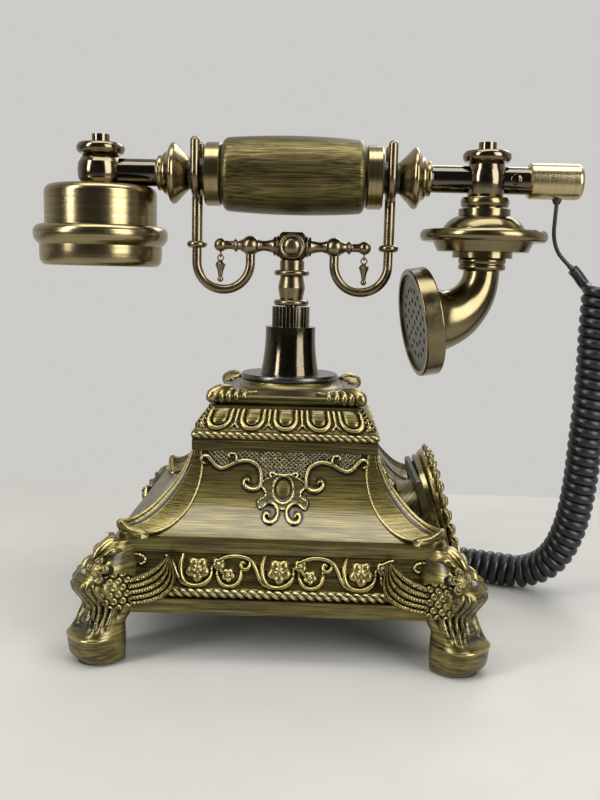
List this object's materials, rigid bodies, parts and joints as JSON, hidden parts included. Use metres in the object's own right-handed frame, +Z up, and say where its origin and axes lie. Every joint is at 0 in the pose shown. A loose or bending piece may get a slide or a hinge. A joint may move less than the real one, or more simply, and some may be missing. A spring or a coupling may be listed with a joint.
{
  "type": "rotary telephone",
  "caption": "Antique-bronze desk telephone: footed square base with concave sides, sloping rotary dial, post with forked hooks and a handset with a curly cord.",
  "frame": {"origin": "on the table under the post's axis, in the plane of the foot pads", "axes": "+Z up along the post, +X out through the dial, +Y across, away from the pictured side"},
  "size_m": [0.2856, 0.18, 0.2333],
  "materials": {
    "antique_resin": "antique bronze plating over resin",
    "dark_bronze": "dark polished bronze",
    "satin_brass": "satin antique brass",
    "grip_bronze": "brushed antique bronze",
    "steel": "plain steel",
    "black_plastic": "moulded black",
    "cord_black": "glossy black jacket",
    "ivory_plate": "printed plate",
    "grille_grey": "grey grille",
    "board_green": "circuit board",
    "pad_rubber": "felted rubber"
  },
  "bodies": {
    "base": {"plinth_frame": "antique_resin", "leg_front_left": "antique_resin", "leg_front_right": "antique_resin", "leg_back_left": "antique_resin", "leg_back_right": "antique_resin", "foot_pads": "pad_rubber", "base_screws": "steel", "bottom_plate": "black_plastic", "body_shell": "antique_resin", "corner_straps": "antique_resin", "neck_block": "antique_resin", "neck_leaves": "antique_resin", "neck_cap": "antique_resin", "dial_platform": "antique_resin", "dial_bezel": "antique_resin", "number_plate": "ivory_plate", "dial_frame": "steel", "finger_stop": "satin_brass", "handset_jack": "black_plastic", "line_jack": "black_plastic", "main_board": "board_green", "ringer": "black_plastic", "post_flange": "dark_bronze", "post_cone": "dark_bronze", "knurled_collar": "dark_bronze", "post_nut": "steel", "hook_spring": "steel", "hook_switch": "black_plastic", "curly_cord": "cord_black", "cord_plug": "black_plastic"},
    "dial": {"finger_wheel": "satin_brass", "dial_cap": "satin_brass", "dial_spindle": "satin_brass"},
    "governor": {"governor": "satin_brass"},
    "cradle": {"cradle_stem": "dark_bronze", "cradle_head": "dark_bronze", "head_rosettes": "dark_bronze", "cross_bar": "dark_bronze", "hook_left": "dark_bronze", "hook_right": "dark_bronze"},
    "pendant_left": {"pendant_left": "satin_brass"},
    "pendant_right": {"pendant_right": "satin_brass"},
    "handset": {"grip_rod": "antique_resin", "grip_barrel": "antique_resin", "grip_ferrules": "satin_brass", "arm_ear": "dark_bronze", "arm_mic": "dark_bronze", "ear_knuckle": "grip_bronze", "ear_cup": "satin_brass", "ear_ring": "satin_brass", "ear_capsule": "black_plastic", "mic_knuckle": "grip_bronze", "mic_dome": "antique_resin", "mic_horn": "satin_brass", "mic_rim": "satin_brass", "mic_grille": "grille_grey", "tail_cap": "satin_brass", "tail_grommet": "black_plastic", "handset_lead": "cord_black"}
  },
  "joints": [
    {"name": "handset_lift", "type": "slide", "parent": "base", "child": "handset", "axis": [0, 0, 1], "range_m": [0, 0.08], "deforming": ["curly_cord"]},
    {"name": "cradle_rise", "type": "slide", "parent": "base", "child": "cradle", "axis": [0, 0, 1], "range_m": [0, 0.004], "deforming": ["hook_spring"]},
    {"name": "dial_turn", "type": "hinge", "parent": "base", "child": "dial", "pos_m": [0.0714, 0, 0.0495], "axis": [-0.9613, 0, -0.2756], "range_deg": [0, 330], "stiffness_Nm_per_rad": 0.003},
    {"name": "governor_spin", "type": "hinge", "parent": "base", "child": "governor", "pos_m": [0.0714, 0.0132, 0.0495], "axis": [-0.9613, 0, -0.2756], "range_deg": [-885, 5]},
    {"name": "pendant_left_swing", "type": "hinge", "parent": "cradle", "child": "pendant_left", "pos_m": [-0.0353, 0, 0.17485], "axis": [0, 1, 0], "range_deg": [-20, 20]},
    {"name": "pendant_right_swing", "type": "hinge", "parent": "cradle", "child": "pendant_right", "pos_m": [0.0353, 0, 0.17485], "axis": [0, 1, 0], "range_deg": [-20, 20]}
  ],
  "couplings": [
    {"joint": "cradle_rise", "follows": "handset_lift", "ratio": 0.05},
    {"joint": "governor_spin", "follows": "dial_turn", "ratio": -2.6667}
  ]
}
